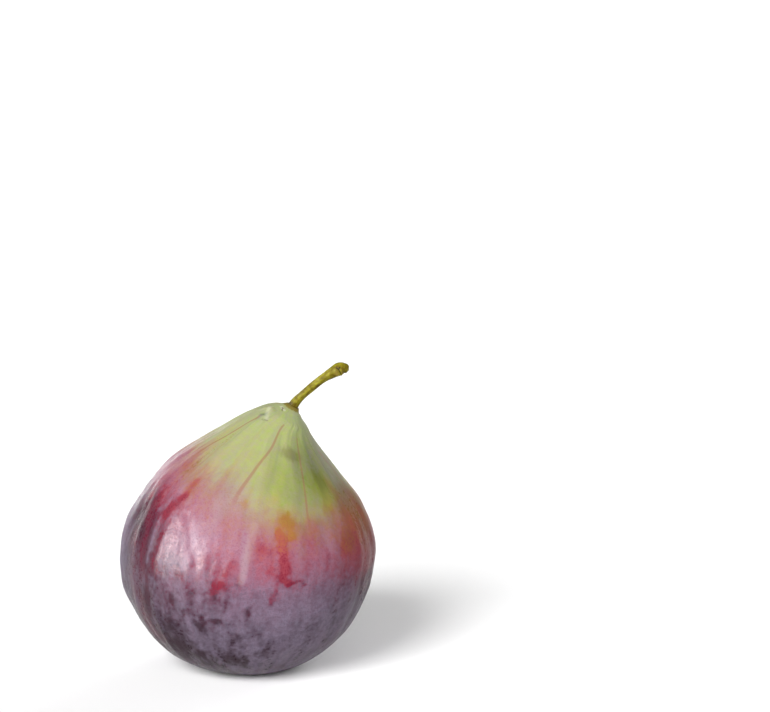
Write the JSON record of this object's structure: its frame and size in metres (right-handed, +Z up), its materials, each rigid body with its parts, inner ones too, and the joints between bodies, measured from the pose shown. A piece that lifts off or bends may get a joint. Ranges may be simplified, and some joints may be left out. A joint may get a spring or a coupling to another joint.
{
  "type": "fig",
  "caption": "Ripe fig with a broad ribbed body, a leaning neck with bract scars, a scaly eye underneath and a bent stem with a club end.",
  "frame": {"origin": "on the ground, at the middle of the outline seen from above", "axes": "+Z up; +X towards the side that the neck and stem lean to; +Y to the back"},
  "size_m": [0.0536, 0.0526, 0.0653],
  "materials": {
    "skin": "thin waxy skin with a powdery bloom, green at the neck and dark purple below",
    "stem": "smooth green stalk, browning at the base and at the cut end"
  },
  "bodies": {
    "root": {"fruit": "skin", "stem": "stem"}
  },
  "joints": []
}
